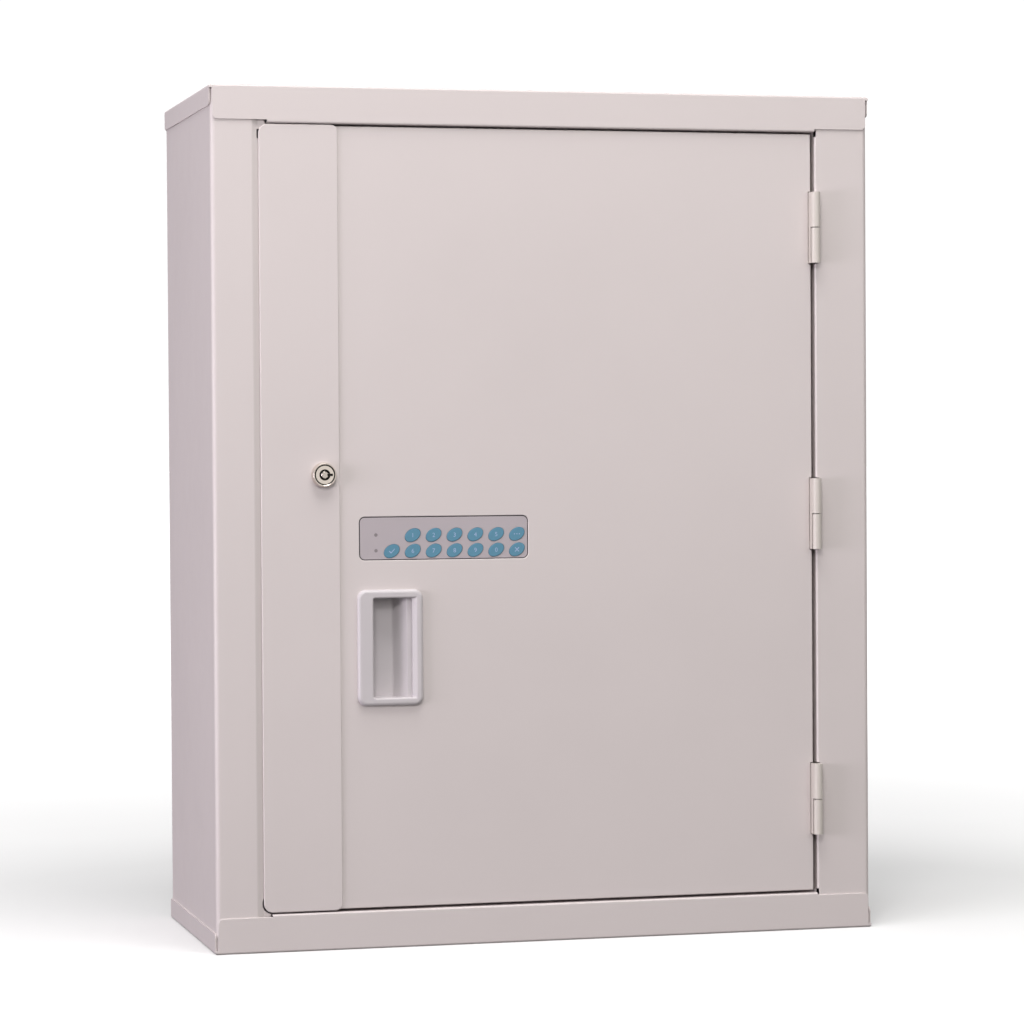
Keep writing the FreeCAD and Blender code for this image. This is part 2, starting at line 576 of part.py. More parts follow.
def handle_cup():
    x0, x1, z0, z1 = HANDLE
    ox0, ox1, oz0, oz1 = HANDLE_OPEN
    y_face = -1.5
    bezel = slab(x0, x1, z0, z1, 8.0, y_face, DOOR_Y0)
    bezel = fillet_where(bezel, 3.2, in_plane_y(y_face))
    body = slab(x0 + 3.0, x1 - 3.0, z0 + 3.0, z1 - 3.0, 5.2, DOOR_Y0 - 0.1, 18.8)
    s = bezel.fuse(body)
    mouth = slab(ox0, 176.0, oz0, oz1, (2.0, 0, 0, 2.0), y_face - 1, 4.0)
    s = s.cut(mouth)
    # finger well: undercut to the left, with a long ramp up to the right rail
    p = [(ox0 + 4, y_face - 1.0), (ox1 + 1.4, y_face - 1.0), (172.5, 3.5), (161.5, 17.0), (133.0, 17.0), (132.5, 3.6), (ox0 + 4, 3.6)]
    face = Part.Face(Part.makePolygon([V(q[0], q[1], oz0) for q in p + [p[0]]]))
    well = face.extrude(V(0, 0, oz1 - oz0))
    along = lambda e: abs(e.Length - (oz1 - oz0)) < 1e-3
    well = fillet_where(well, 3.0, lambda e: along(e) and e.CenterOfMass.y > 12 and e.CenterOfMass.x > 150)
    well = fillet_where(well, 2.4, lambda e: along(e) and e.CenterOfMass.y > 12 and e.CenterOfMass.x < 150)
    well = fillet_where(well, 7.0, lambda e: along(e) and abs(e.CenterOfMass.x - 172.5) < 1e-3)
    s = s.cut(well).removeSplitter()
    return fillet_where(s, 1.6, lambda e: abs(e.CenterOfMass.y - y_face) < 1e-3 and ox0 - .1 < e.CenterOfMass.x < ox1 + .6 and oz0 - .1 < e.CenterOfMass.z < oz1 + .1)


# keypad ---------------------------------------------------------------------
def key_centres():
    out = []
    top = ("1", "2", "3", "4", "5", "program")
    low = ("enter", "6", "7", "8", "9", "0", "clear")
    for i, n in enumerate(top):
        out.append((n, KEY_X_LAST - KEY_PITCH_X * (5 - i), KEY_ROW_Z[0]))
    for i, n in enumerate(low):
        out.append((n, KEY_X_LAST - KEY_PITCH_X * (6 - i), KEY_ROW_Z[1]))
    return out


FASCIA_Y0, FASCIA_Y1 = 3.15, 5.15
LED_POS = ((144.5, 360.6), (144.5, 346.9))


def keypad_fascia():
    g = 0.7
    s = slab(PAD_X0 + g, PAD_X1 - g, PAD_Z0 + g, PAD_Z1 - g, PAD_R - g, FASCIA_Y0, FASCIA_Y1)
    s = fillet_where(s, 0.3, in_plane_y(FASCIA_Y0))
    s = s.fuse(slab(PAD_X0 - 3, PAD_X1 + 3, PAD_Z0 - 3, PAD_Z1 + 3, 6.0, DOOR_Y0 + TD + 0.05, FASCIA_Y1))
    tools = [ellipse(x, z, KEY_A + 0.25, KEY_B + 0.25, KEY_TILT, FASCIA_Y0 - 1, FASCIA_Y1 + 1) for _, x, z in key_centres()]
    tools += [cyl_y(x, z, 1.55, FASCIA_Y0 - 1, FASCIA_Y1 + 1) for x, z in LED_POS]
    return s.cut(Part.makeCompound(tools))


def led_lenses():
    out = []
    for x, z in LED_POS:
        s = cyl_y(x, z, 1.5, FASCIA_Y0 + 0.15, FASCIA_Y1 + 0.5)
        out.append(s.fuse(cyl_y(x, z, 2.2, FASCIA_Y1 + 0.1, FASCIA_Y1 + 1.2)).removeSplitter())
    return out


def key_cap(x, z):
    s = ellipse(x, z, KEY_A, KEY_B, KEY_TILT, FASCIA_Y0 - 0.5, FASCIA_Y1 + 1.0)
    s = fillet_where(s, 0.42, in_plane_y(FASCIA_Y0 - 0.5))
    rim = ellipse(x, z, KEY_A + 0.4, KEY_B + 0.4, KEY_TILT, FASCIA_Y1 + 0.2, FASCIA_Y1 + 1.0)
    return s.fuse(rim).removeSplitter()


def keypad_mat():
    s = slab(PAD_X0 + 1, PAD_X1 - 1, PAD_Z0 + 0.5, PAD_Z1 - 0.5, 3.0, FASCIA_Y1 + 1.6, FASCIA_Y1 + 2.6)
    for x, z in LED_POS:
        s = s.cut(cyl_y(x, z, 3.0, FASCIA_Y1, FASCIA_Y1 + 4))
    return s


def keypad_board():
    s = slab(PAD_X0 + 1, PAD_X1 - 1, PAD_Z0 + 0.5, PAD_Z1 - 0.5, 2.0, FASCIA_Y1 + 2.65, FASCIA_Y1 + 4.25)
    parts = [box(138, 150, FASCIA_Y1 + 4.2, FASCIA_Y1 + 5.4, 350, 362), box(158, 163, FASCIA_Y1 + 4.2, FASCIA_Y1 + 5.6, 344, 352)]
    return fuse(s, *parts)


CASE = (67.0, 291.0, 330.5, 384.5)
CASE_Y0, CASE_Y1 = 4.2, 29.6
BAT_WIN = (181.0, 286.0, 336.5, 378.5)


def lock_case():
    x0, x1, z0, z1 = CASE
    s = slab(x0, x1, z0, z1, 4.0, CASE_Y0, CASE_Y1)
    s = fillet_where(s, 1.5, in_plane_y(CASE_Y1))
    s = s.cut(slab(x0 + 2, x1 - 2, z0 + 2, z1 - 2, 2.0, CASE_Y0 - 1, CASE_Y1 - 2))
    s = s.cut(slab(*BAT_WIN, 2.0, CASE_Y1 - 4, CASE_Y1 + 1))
    # bolt window and guide
    s = s.cut(box(x0 - 1, x0 + 3, BOLT_Y - 4.7, BOLT_Y + 4.7, BOLT_Z - 6.2, BOLT_Z + 6.2))
    guide = box(78, 88, BOLT_Y - 8.5, CASE_Y1 - 1.9, BOLT_Z - 10, BOLT_Z + 10).cut(
        box(77, 89, BOLT_Y - 4.6, BOLT_Y + 4.6, BOLT_Z - 6.1, BOLT_Z + 6.1))
    s = s.fuse(guide)
    return s.removeSplitter()


def battery_cover():
    s = slab(177.0, 289.0, 333.5, 381.5, 3.0, CASE_Y1, CASE_Y1 + 2.0)
    s = fillet_where(s, 0.7, in_plane_y(CASE_Y1 + 2.0))
    ribs = [box(200.0 + 3.2 * k, 201.4 + 3.2 * k, CASE_Y1 + 1.9, CASE_Y1 + 2.6, 347, 368) for k in range(5)]
    return fuse(s, *ribs)


def batteries():
    out = []
    for x0 in (181.8, 233.8):
        for z in (346.5, 368.5):
            a = cyl_x(19.6, z, 7.1, x0, x0 + 48.6)
            a = fillet_where(a, 0.6, lambda e: len(e.Vertexes) == 1 and e.Length > 30)
            out.append(a.fuse(cyl_x(19.6, z, 2.7, x0 + 48.5, x0 + 50.0)).removeSplitter())
    return out


def bolt_motor():
    s = slab(128.0, 160.0, BOLT_Z - 11, BOLT_Z + 11, 2.0, 10.95, CASE_Y1 - 2.0)
    m = cyl_x(18.6, BOLT_Z, 7.2, 159.9, 176.0)
    s = s.fuse(m).fuse(cyl_x(BOLT_Y, BOLT_Z, 3.0, 97.0, 129.0))
    return s.removeSplitter()


def lock_bolt():
    s = box(53.3, 121.0, BOLT_Y - 4.0, BOLT_Y + 4.0, BOLT_Z - 5.5, BOLT_Z + 5.5)
    s = fillet_where(s, 0.8, lambda e: abs(e.CenterOfMass.x - 53.3) < 1e-3)
    # blind bore for the motor's drive rod
    return s.cut(cyl_x(BOLT_Y, BOLT_Z, 3.1, 95.0, 122.0))


def strike_plate():
    s = box(47.3, 48.8, BOLT_Y - 8.0, 24.6, BOLT_Z - 24, BOLT_Z + 24)
    return s.cut(box(46, 50, BOLT_Y - 6.0, BOLT_Y + 6.0, BOLT_Z - 7.5, BOLT_Z + 7.5))


def case_screws():
    out = []
    for x, z in ((73.0, 336.5), (73.0, 378.5), (170.5, 336.5), (170.5, 378.5)):
        s = cyl_y(x, z, 3.0, CASE_Y1, CASE_Y1 + 1.8)
        s = fillet_where(s, 0.8, lambda e: abs(e.CenterOfMass.y - (CASE_Y1 + 1.8)) < 1e-3)
        for w, h in ((4.2, 0.8), (0.8, 4.2)):
            s = s.cut(box(x - w / 2, x + w / 2, CASE_Y1 + 0.8, CASE_Y1 + 2, z - h / 2, z + h / 2))
        out.append(s)
    return out


# key lock -------------------------------------------------------------------
def revolve_y(pts, cx, cz):
    """pts are (radius, y); revolved about the Y axis through (cx, cz)."""
    face = Part.Face(Part.makePolygon([V(p[0], p[1], 0) for p in pts + [pts[0]]]))
    s = face.revolve(V(0, 0, 0), V(0, 1, 0), 360)
    s.translate(V(cx, 0, cz))
    return s


def lock_housing():
    f = LOCK_FACE_Y
    pts = [(4.85, f + 0.35), (7.9, f + 0.35), (8.1, f + 1.9), (8.8, f + 1.9), (9.0, f + 0.2), (9.3, f), (9.7, f), (10.3, f + 0.8),
           (11.0, 0.2), (11.0, STRIP_Y0), (9.55, STRIP_Y0), (9.55, 24.0), (4.85, 24.0)]
    s = revolve_y(pts, LOCK_X, LOCK_Z)
    s = s.cut(box(LOCK_X + 4.0, LOCK_X + 7.0, f, f + 4.5, LOCK_Z - 1.1, LOCK_Z + 1.1))
    return s


def lock_plug():
    f = LOCK_FACE_Y
    pts = [(0, f + 0.3), (2.75, f + 0.3), (3.05, f + 0.6), (3.05, 2.5), (4.78, 2.5), (4.78, CAM_Y0 - 3.4), (6.0, CAM_Y0 - 3.4), (6.0, CAM_Y0), (0, CAM_Y0)]
    s = revolve_y(pts, LOCK_X, LOCK_Z)
    s = s.cut(box(LOCK_X + 2.0, LOCK_X + 4.0, f, f + 4.0, LOCK_Z - 0.7, LOCK_Z + 0.7))
    s = s.fuse(box(LOCK_X - 3.0, LOCK_X + 3.0, CAM_Y0 - 0.5, CAM_Y1, LOCK_Z - 3.0, LOCK_Z + 3.0))
    s = s.fuse(cyl_y(LOCK_X, LOCK_Z, 2.4, CAM_Y1 - 0.5, CAM_Y1 + 3.4))
    return s.removeSplitter()


def lock_nut():
    pts = [V(LOCK_X + 13.0 * math.cos(math.radians(30 + 60 * k)), 4.2, LOCK_Z + 13.0 * math.sin(math.radians(30 + 60 * k))) for k in range(6)]
    s = Part.Face(Part.makePolygon(pts + [pts[0]])).extrude(V(0, 4.2, 0))
    return s.cut(cyl_y(LOCK_X, LOCK_Z, 9.6, 3, 10))


def lock_cam():
    s = slab(LOCK_X - 8.0, LOCK_X + 8.0, LOCK_Z - 8.0, LOCK_Z + 60.0, (7.9, 7.9, 3, 3), CAM_Y0, CAM_Y1)
    return s.cut(box(LOCK_X - 3.02, LOCK_X + 3.02, CAM_Y0 - 1, CAM_Y1 + 1, LOCK_Z - 3.02, LOCK_Z + 3.02))


def cam_nut():
    pts = [V(LOCK_X + 5.2 * math.cos(math.radians(60 * k)), CAM_Y1, LOCK_Z + 5.2 * math.sin(math.radians(60 * k))) for k in range(6)]
    s = Part.Face(Part.makePolygon(pts + [pts[0]])).extrude(V(0, 2.6, 0))
    return s.cut(cyl_y(LOCK_X, LOCK_Z, 2.42, CAM_Y1 - 1, CAM_Y1 + 5))


def door_buffers():
    out = []
    for x in (110.0, 300.0, 490.0):
        for z in (H - TOP_RAIL - 6.6, BOT_RAIL + 6.6):
            s = cyl_y(x, z, 4.0, DOOR_Y1 + 0.3, REBATE_Y)
            out.append(fillet_where(s, 0.8, lambda e: abs(e.CenterOfMass.y - (DOOR_Y1 + 0.3)) < 1e-3))
    return out


# ------------------------------- export --------------------------------------
def shifted(shape):
    s = shape.copy()
    s.translate(V(-W / 2, -Y_SHIFT, 0))
    return s


def write(name, shapes):
    shapes = shapes if isinstance(shapes, list) else [shapes]
    solids = []
    for s in shapes:
        solids += [shifted(x) for x in s.Solids]
    for s in solids:
        if not s.isValid() or s.Volume <= 0:
            print("PROBLEM", name, s.isValid(), s.Volume)
    out = solids[0] if len(solids) == 1 else Part.makeCompound(solids)
    out.exportStep("parts/%s.step" % name)
    print(name, len(solids), round(sum(s.Volume for s in solids), 1))


os.makedirs("parts", exist_ok=True)
for f in os.listdir("parts"):
    if f.endswith(".step"):
        os.remove(os.path.join("parts", f))

face = upright_face()
write("left_side_panel", left_side_panel())
write("right_side_panel", right_side_panel())
write("back_panel", back_panel())
write("top_cap", top_cap())
write("bottom_cap", bottom_cap())
write("cable_grommet", cable_grommet())
write("shelf_uprights", shelf_uprights())
write("shelf_clips", shelf_clips(face))
for label, zs in (("lower", SHELF_Z[0]), ("upper", SHELF_Z[1])):
    write(label + "_shelf", shelf(zs))
    write(label + "_phone_dividers", dividers(zs))
    write(label + "_charger_housing", hub_housing(zs))
    write(label + "_usb_sockets", usb_sockets(zs))
    write(label + "_power_inlet", power_inlet(zs))
    write(label + "_power_switch", power_switch(zs))
write("hinge_frame_leaves", hinge_frame_leaves())
write("hinge_pins", hinge_pins())
write("frame_hinge_plates", frame_hinge_plates())
write("charger_boards", charger_boards())
write("strike_plate", strike_plate())
write("door_buffers", door_buffers())
write("door_pan", door_pan())
write("lock_strip", lock_strip())
write("door_stiffener", door_stiffener())
write("hinge_door_leaves", hinge_door_leaves())
write("hinge_backing_plates", hinge_backing_plates())
write("handle_cup", handle_cup())
write("keypad_fascia", keypad_fascia())
write("led_lenses", led_lenses())
write("keypad_mat", keypad_mat())
write("keypad_board", keypad_board())
for name, x, z in key_centres():
    write("key_" + name, key_cap(x, z))
write("lock_case", lock_case())
write("case_screws", case_screws())
write("battery_cover", battery_cover())
write("batteries", batteries())
write("bolt_motor", bolt_motor())
write("lock_bolt", lock_bolt())
write("lock_housing", lock_housing())
write("lock_nut", lock_nut())
write("lock_plug", lock_plug())
write("lock_cam", lock_cam())
write("cam_nut", cam_nut())
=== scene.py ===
import json
import math

import bpy
import bmesh
from mathutils import Matrix, Vector


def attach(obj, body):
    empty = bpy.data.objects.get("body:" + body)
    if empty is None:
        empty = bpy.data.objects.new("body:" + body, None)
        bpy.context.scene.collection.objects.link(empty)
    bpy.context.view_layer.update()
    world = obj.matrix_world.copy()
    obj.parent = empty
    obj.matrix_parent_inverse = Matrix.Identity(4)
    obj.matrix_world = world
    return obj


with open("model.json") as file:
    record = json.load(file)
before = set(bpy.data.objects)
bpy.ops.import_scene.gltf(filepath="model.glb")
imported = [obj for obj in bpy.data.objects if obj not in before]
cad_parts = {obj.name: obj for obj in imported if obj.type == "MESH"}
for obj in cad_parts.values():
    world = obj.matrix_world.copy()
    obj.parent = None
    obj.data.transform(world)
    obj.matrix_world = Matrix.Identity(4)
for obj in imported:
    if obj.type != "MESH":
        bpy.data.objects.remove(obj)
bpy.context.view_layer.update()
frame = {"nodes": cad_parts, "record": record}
nodes = frame["nodes"]

# The drawing frame of the cabinet in millimetres: X from its left side, Y from
# the front of the cap flanges, Z from the floor.
Y_SHIFT = 120.4


def at(x, y, z):
    return Vector(((x - 300.0) / 1000.0, (y - Y_SHIFT) / 1000.0, z / 1000.0))


# ------------------------------ material helpers ------------------------------
class Mat:
    def __init__(self, name):
        self.m = bpy.data.materials.new(name)
        self.m.use_nodes = True
        self.t = self.m.node_tree
        self.t.nodes.clear()
        self.out = self.t.nodes.new("ShaderNodeOutputMaterial")
        self.b = self.t.nodes.new("ShaderNodeBsdfPrincipled")
        self.link(self.b.outputs["BSDF"], self.out.inputs["Surface"])
        tc = self.t.nodes.new("ShaderNodeTexCoord")
        self.co = tc.outputs["Object"]

    def link(self, a, b):
        self.t.links.new(a, b)

    def set(self, **kw):
        names = {"metallic": "Metallic", "ior": "IOR", "spec": "Specular IOR Level", "coat": "Coat Weight",
                 "coat_rough": "Coat Roughness", "rough": "Roughness", "alpha": "Alpha", "transmission": "Transmission Weight",
                 "aniso": "Anisotropic", "sss": "Subsurface Weight", "sss_scale": "Subsurface Scale", "sheen": "Sheen Weight"}
        for k, v in kw.items():
            self.b.inputs[names[k]].default_value = v
        return self

    def noise(self, scale, detail=2.0, rough=0.5, stretch=None, distortion=0.0):
        n = self.t.nodes.new("ShaderNodeTexNoise")
        n.inputs["Scale"].default_value = scale
        n.inputs["Detail"].default_value = detail
        n.inputs["Roughness"].default_value = rough
        n.inputs["Distortion"].default_value = distortion
        src = self.co
        if stretch:
            mp = self.t.nodes.new("ShaderNodeMapping")
            mp.inputs["Scale"].default_value = stretch
            self.link(self.co, mp.inputs["Vector"])
            src = mp.outputs["Vector"]
        self.link(src, n.inputs["Vector"])
        return n.outputs["Fac"]

    def voronoi(self, scale, feature="F1", stretch=None):
        n = self.t.nodes.new("ShaderNodeTexVoronoi")
        n.feature = feature
        n.inputs["Scale"].default_value = scale
        src = self.co
        if stretch:
            mp = self.t.nodes.new("ShaderNodeMapping")
            mp.inputs["Scale"].default_value = stretch
            self.link(self.co, mp.inputs["Vector"])
            src = mp.outputs["Vector"]
        self.link(src, n.inputs["Vector"])
        return n.outputs["Distance"]

    def ramp(self, fac, stops):
        r = self.t.nodes.new("ShaderNodeValToRGB")
        e = r.color_ramp.elements
        e[0].position, e[0].color = stops[0][0], (*stops[0][1], 1)
        e[1].position, e[1].color = stops[-1][0], (*stops[-1][1], 1)
        for p, c in stops[1:-1]:
            x = e.new(p)
            x.color = (*c, 1)
        self.link(fac, r.inputs["Fac"])
        return r.outputs["Color"]

    def value(self, fac, a, b, lo=0.3, hi=0.7):
        n = self.t.nodes.new("ShaderNodeMapRange")
        n.inputs["From Min"].default_value = lo
        n.inputs["From Max"].default_value = hi
        n.inputs["To Min"].default_value = a
        n.inputs["To Max"].default_value = b
        self.link(fac, n.inputs["Value"])
        return n.outputs["Result"]

    def math(self, op, a, b=None, clamp=False):
        n = self.t.nodes.new("ShaderNodeMath")
        n.operation = op
        n.use_clamp = clamp
        for i, v in enumerate((a, b)):
            if v is None:
                continue
            if isinstance(v, (int, float)):
                n.inputs[i].default_value = v
            else:
                self.link(v, n.inputs[i])
        return n.outputs["Value"]

    def mix(self, fac, a, b, mode="MIX"):
        n = self.t.nodes.new("ShaderNodeMix")
        n.data_type = "RGBA"
        n.blend_type = mode
        for sock, v in ((n.inputs["Factor"], fac), (n.inputs[6], a), (n.inputs[7], b)):
            if isinstance(v, (int, float)):
                sock.default_value = v
            elif isinstance(v, tuple):
                sock.default_value = (*v, 1)
            else:
                self.link(v, sock)
        return n.outputs[2]

    def bump(self, height, distance, strength=1.0, below=None):
        n = self.t.nodes.new("ShaderNodeBump")
        n.inputs["Distance"].default_value = distance
        n.inputs["Strength"].default_value = strength
        self.link(height, n.inputs["Height"])
        if below is not None:
            self.link(below, n.inputs["Normal"])
        return n.outputs["Normal"]

    def edge(self, radius, samples=4):
        """1 on sharp edges, 0 on flats."""
        bv = self.t.nodes.new("ShaderNodeBevel")
        bv.samples = samples
        bv.inputs["Radius"].default_value = radius
        g = self.t.nodes.new("ShaderNodeNewGeometry")
        d = self.t.nodes.new("ShaderNodeVectorMath")
        d.operation = "DOT_PRODUCT"
        self.link(bv.outputs["Normal"], d.inputs[0])
        self.link(g.outputs["Normal"], d.inputs[1])
        return self.value(d.outputs["Value"], 1.0, 0.0, 0.72, 0.99)

    def color(self, c):
        self.link(c, self.b.inputs["Base Color"])
        return self

    def rough(self, r):
        self.link(r, self.b.inputs["Roughness"])
        return self

    def normal(self, n):
        self.link(n, self.b.inputs["Normal"])
        return self


def scaled(c, k):
    return tuple(max(0.0, min(1.0, v * k)) for v in c)


def powder_coat(name, base, rough=0.42, peel=1.0, speck=0.02, edges=True):
    m = Mat(name)
    m.set(spec=0.42)
    big = m.noise(5.0, 3.0, 0.55)
    fine = m.noise(2600.0, 1.0, 0.5)
    col = m.ramp(big, [(0.28, scaled(base, 0.978)), (0.5, base), (0.72, scaled(base, 1.014))])
    grain = m.value(fine, 0.0, 1.0, 0.3, 0.7)
    col = m.mix(m.math("MULTIPLY", grain, speck * 4), col, scaled(base, 0.90))
    if edges:
        col = m.mix(m.math("MULTIPLY", m.edge(0.0009), 0.18, clamp=True), col, scaled(base, 1.12))
    m.color(col)
    r = m.noise(38.0, 4.0, 0.6)
    m.rough(m.math("ADD", m.value(r, rough - 0.045, rough + 0.055), m.math("MULTIPLY", grain, 0.03)))
    wave = m.bump(m.noise(55.0, 2.0, 0.5), 0.0004, 0.10 * peel)
    m.normal(m.bump(m.noise(760.0, 2.0, 0.55), 0.00006, 0.55 * peel, wave))
    return m.m


def moulded(name, base, rough=0.45, grain_scale=1500.0, grain=0.35, spec=0.45, var=0.05, coat=0.0):
    m = Mat(name)
    m.set(spec=spec)
    if coat:
        m.set(coat=coat, coat_rough=0.18)
    big = m.noise(24.0, 3.0, 0.55)
    m.color(m.ramp(big, [(0.3, scaled(base, 1 - var)), (0.7, scaled(base, 1 + var * 0.6))]))
    m.rough(m.value(m.noise(160.0, 3.0, 0.6), rough - 0.05, rough + 0.06))
    n = m.bump(m.noise(140.0, 2.0), 0.0002, 0.07)
    m.normal(m.bump(m.voronoi(grain_scale), 0.00005, grain, n))
    return m.m


def metal(name, base, rough=0.3, brush=None, var=0.08, aniso=0.0, spots=None, well=None):
    m = Mat(name)
    m.set(metallic=1.0)
    if aniso:
        m.set(aniso=aniso)
    a = m.noise(30.0, 4.0, 0.6)
    col = m.ramp(a, [(0.3, scaled(base, 1 - var)), (0.7, scaled(base, 1 + var * 0.5))])
    if spots:
        v = m.voronoi(260.0)
        col = m.mix(m.value(v, spots, 0.0, 0.05, 0.5), col, scaled(base, 0.80))
    if well:
        # painted shade: near-black inside the lock's round grooves, by depth behind its face
        cx, cz, radius, face = well
        sep = m.t.nodes.new("ShaderNodeSeparateXYZ")
        m.link(m.co, sep.inputs[0])
        dx = m.math("SUBTRACT", sep.outputs["X"], cx)
        dz = m.math("SUBTRACT", sep.outputs["Z"], cz)
        r = m.math("SQRT", m.math("ADD", m.math("MULTIPLY", dx, dx), m.math("MULTIPLY", dz, dz)))
        inside = m.value(r, 1.0, 0.0, radius - 0.0002, radius)
        deep = m.value(sep.outputs["Y"], 0.0, 1.0, face + 0.0003, face + 0.0012)
        col = m.mix(m.math("MULTIPLY", inside, deep), col, scaled(base, 0.06))
    m.color(col)
    st = brush or (1, 1, 1)
    b = m.noise(900.0, 3.0, 0.6, st)
    m.rough(m.value(b, max(0.03, rough - 0.08), rough + 0.10))
    m.normal(m.bump(b, 0.00003, 0.35, m.bump(m.noise(70.0, 2.0), 0.0002, 0.05)))
    return m.m


# --------------------------------- materials ---------------------------------
PAINT = (0.640, 0.578, 0.570)
# lock axis, groove radius and face depth for the painted shade in the keyway
LOCK_KEYWAY_SHADE = (at(98.1, 0, 0)[0], at(0, 0, 413.4)[2], 0.0089, at(0, -4.9, 0)[1])
M = {
    "cabinet_paint": powder_coat("powder_coat_warm_grey", PAINT),
    "hinge_paint": powder_coat("hinge_enamel_cream", (0.595, 0.545, 0.505), 0.36, 0.6, 0.015),
    "pull_plastic": moulded("pull_satin_plastic", (0.560, 0.520, 0.535), 0.40, 2100.0, 0.22, 0.5, 0.02),
    "fascia_film": moulded("keypad_film", (0.450, 0.400, 0.422), 0.52, 3200.0, 0.20, 0.35, 0.02),
    "key_blue": moulded("key_film_blue", (0.100, 0.255, 0.360), 0.46, 3200.0, 0.18, 0.4, 0.05),
    "led_lens": moulded("led_lens_clear", (0.25, 0.22, 0.23), 0.18, 1800.0, 0.08, 0.5, 0.05, coat=0.4),
    "lock_chrome": metal("lock_chrome_satin", (0.80, 0.73, 0.67), 0.14, None, 0.05, well=LOCK_KEYWAY_SHADE),
    "lock_nickel": metal("lock_nickel", (0.66, 0.60, 0.55), 0.26, None, 0.08, well=LOCK_KEYWAY_SHADE),
    # painted shade: near-black pin steel so the keyway reads dark
    "lock_pin": metal("lock_pin_steel_painted_shade", (0.17, 0.155, 0.145), 0.34, None, 0.10),
    # painted shade: near-black pin steel so the split between hinge knuckles reads dark
    "pin_steel": metal("hinge_pin_steel_painted_shade", (0.14, 0.13, 0.12), 0.42, None, 0.12),
    "zinc_steel": metal("zinc_plate", (0.56, 0.57, 0.58), 0.36, (1, 1, 0.08), 0.14, spots=0.5),
    "shelf_paint": powder_coat("shelf_powder_coat", scaled(PAINT, 0.98), 0.46, 1.1, 0.03),
    "divider_paint": powder_coat("divider_texture_coat", (0.46, 0.46, 0.475), 0.56, 2.0, 0.06),
    "charger_case": moulded("charger_grained_plastic", (0.018, 0.018, 0.020), 0.50, 900.0, 0.6, 0.45, 0.12),
    "lock_case": moulded("lock_case_plastic", (0.030, 0.030, 0.033), 0.48, 1000.0, 0.5, 0.45, 0.12),
    "socket_metal": metal("socket_nickel", (0.68, 0.67, 0.65), 0.24, (0.1, 1, 1), 0.08),
    "inlet_plastic": moulded("inlet_black_plastic", (0.012, 0.012, 0.013), 0.32, 1700.0, 0.15, 0.5, 0.1),
    "switch_plastic": moulded("switch_black_plastic", (0.014, 0.014, 0.015), 0.28, 1700.0, 0.12, 0.5, 0.1),
    "board": moulded("board_solder_mask", (0.012, 0.085, 0.035), 0.34, 600.0, 0.25, 0.5, 0.15),
    "battery_jacket": moulded("battery_jacket", (0.055, 0.06, 0.07), 0.30, 1400.0, 0.1, 0.5, 0.1),
    "rubber": moulded("rubber_black", (0.020, 0.020, 0.021), 0.68, 1100.0, 0.4, 0.3, 0.15),
    "keypad_rubber": moulded("silicone_grey", (0.17, 0.17, 0.175), 0.62, 1300.0, 0.3, 0.3, 0.08),
}
node_slot = {s["node"]: s["material_slot"] for s in frame["record"]["subparts"]}
for name, obj in nodes.items():
    mat = M[node_slot[name]]
    if len(obj.material_slots) == 0:
        obj.data.materials.append(mat)
    # the hinge pins take the near-black steel, painted shade for the knuckle split
    if name == "hinge_pins":
        mat = M["pin_steel"]
    for s in obj.material_slots:
        s.material = mat


# ---------------------------------- pieces -----------------------------------
def piece(name, verts, faces, mat, body, smooth=True):
    me = bpy.data.meshes.new(name)
    me.from_pydata([tuple(v) for v in verts], [], faces)
    me.validate()
    me.update()
    bm = bmesh.new()
    bm.from_mesh(me)
    bmesh.ops.recalc_face_normals(bm, faces=bm.faces)
    bm.to_mesh(me)
    bm.free()
    for p in me.polygons:
        p.use_smooth = smooth
    me.materials.append(mat)
    o = bpy.data.objects.new(name, me)
    bpy.context.scene.collection.objects.link(o)
    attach(o, body)
    return o


def prism(loops_2d, y0, y1, cx, cz):
    """Closed prism from one outline in the front plane, y0 in front of y1."""
    n = len(loops_2d)
    v = [at(cx + x, y0, cz + z) for x, z in loops_2d] + [at(cx + x, y1, cz + z) for x, z in loops_2d]
    f = [tuple(range(n)), tuple(reversed(range(n, 2 * n)))]
    f += [(i, (i + 1) % n, n + (i + 1) % n, n + i) for i in range(n)]
    return v, f


def stroke(points, width, round_n=5):
    """Outline of a polyline with round ends, in two dimensions."""
    h = width / 2.0
    left, right = [], []
    n = len(points)
    for i, p in enumerate(points):
        if i == 0:
            d = (points[1][0] - p[0], points[1][1] - p[1])
        elif i == n - 1:
            d = (p[0] - points[i - 1][0], p[1] - points[i - 1][1])
        else:
            a = (p[0] - points[i - 1][0], p[1] - points[i - 1][1])
            b = (points[i + 1][0] - p[0], points[i + 1][1] - p[1])
            la, lb = math.hypot(*a), math.hypot(*b)
            d = (a[0] / la + b[0] / lb, a[1] / la + b[1] / lb)
        length = math.hypot(*d) or 1.0
        nx, ny = -d[1] / length, d[0] / length
        k = 1.0
        if 0 < i < n - 1:
            a = (p[0] - points[i - 1][0], p[1] - points[i - 1][1])
            la = math.hypot(*a)
            k = 1.0 / max(0.5, abs(nx * -a[1] / la + ny * a[0] / la))
        left.append((p[0] + nx * h * k, p[1] + ny * h * k))
        right.append((p[0] - nx * h * k, p[1] - ny * h * k))

    def capped(p, q, c):
        a0 = math.atan2(p[1] - c[1], p[0] - c[0])
        return [(c[0] + h * math.cos(a0 - math.pi * j / round_n), c[1] + h * math.sin(a0 - math.pi * j / round_n)) for j in range(1, round_n)]

    return left + capped(left[-1], right[-1], points[-1]) + right[::-1] + capped(right[0], left[0], points[0])


